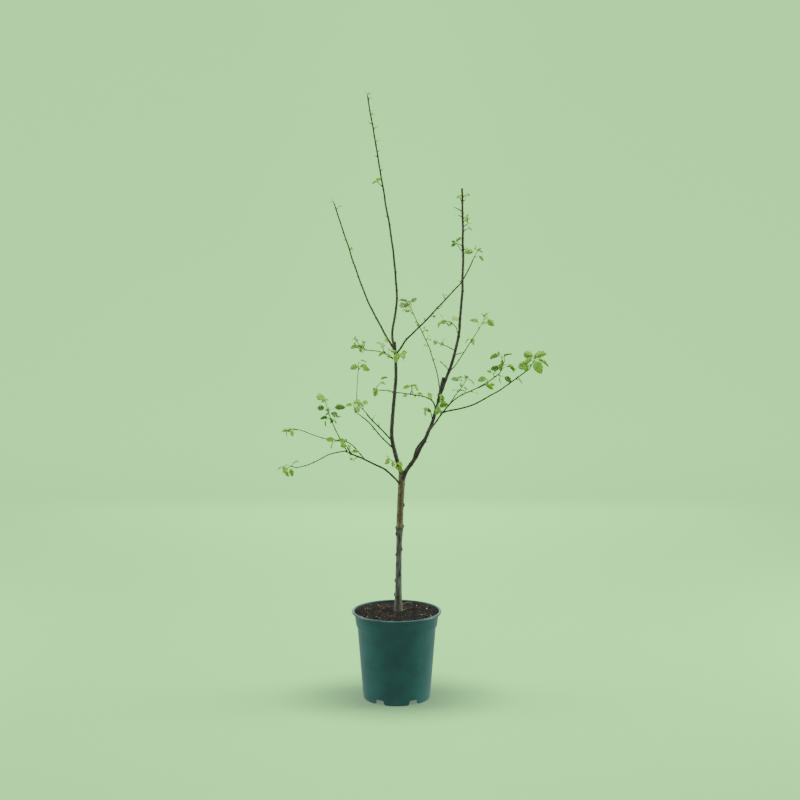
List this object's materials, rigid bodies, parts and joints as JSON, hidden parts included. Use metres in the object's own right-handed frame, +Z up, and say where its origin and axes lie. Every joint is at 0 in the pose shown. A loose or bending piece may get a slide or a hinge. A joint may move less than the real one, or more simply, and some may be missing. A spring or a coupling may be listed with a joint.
{
  "type": "potted young apple tree",
  "caption": "Young branched apple tree in early leaf, standing in a round green nursery pot filled with compost; thin open crown on a grafted stem.",
  "frame": {"origin": "centre of the pot's flat underside, on the ground", "axes": "+Z up along the stem, +X to the right and +Y away from the viewer, seen from the front"},
  "size_m": [0.6469, 0.3857, 1.5002],
  "materials": {
    "pot_plastic": "satin",
    "compost": "matte",
    "stem_bark": "matte",
    "bough_bark": "matte",
    "leaf": "matte"
  },
  "bodies": {
    "root": {"back_left_leaves": "leaf", "back_left_twig": "bough_bark", "back_right_leaves": "leaf", "back_right_twig": "bough_bark", "back_spur": "bough_bark", "back_spur_leaves": "leaf", "bare_twig": "bough_bark", "bough_end_leaves": "leaf", "compost": "compost", "cross_foot_leaves": "leaf", "cross_twig": "bough_bark", "cross_twig_leaves": "leaf", "crossing_bough": "bough_bark", "crossing_leaves": "leaf", "crossing_middle_leaves": "leaf", "fork_leaves": "leaf", "front_right_leaves": "leaf", "front_right_spur": "bough_bark", "inner_left_leaves": "leaf", "inner_left_twig": "bough_bark", "leader": "bough_bark", "leader_left_leaves": "leaf", "leader_right_leaves": "leaf", "leader_top": "bough_bark", "leader_top_leaves": "leaf", "leafy_right_leaves": "leaf", "leafy_right_low_leaves": "leaf", "leafy_right_twig": "bough_bark", "left_top_bough": "bough_bark", "left_top_leaves": "leaf", "long_left_leaves": "leaf", "long_left_twig": "bough_bark", "long_right_leaves": "leaf", "long_right_twig": "bough_bark", "low_left_bough": "bough_bark", "low_left_leaves": "leaf", "low_left_twig": "bough_bark", "low_right_bough": "bough_bark", "middle_twig_leaves": "leaf", "pot": "pot_plastic", "right_limb": "bough_bark", "right_limb_front_leaves": "leaf", "right_limb_left_leaves": "leaf", "right_limb_top": "bough_bark", "right_top_low_leaves": "leaf", "right_top_middle_leaves": "leaf", "right_top_outer_leaves": "leaf", "right_top_side_leaves": "leaf", "right_top_upper_leaves": "leaf", "rising_left_leaves": "leaf", "rising_left_twig": "bough_bark", "short_right_leaves": "leaf", "short_right_twig": "bough_bark", "tall_left_leaves": "leaf", "thin_right_leaves": "leaf", "thin_right_twig": "bough_bark", "trunk": "stem_bark", "upper_left_twig": "bough_bark"}
  },
  "joints": []
}
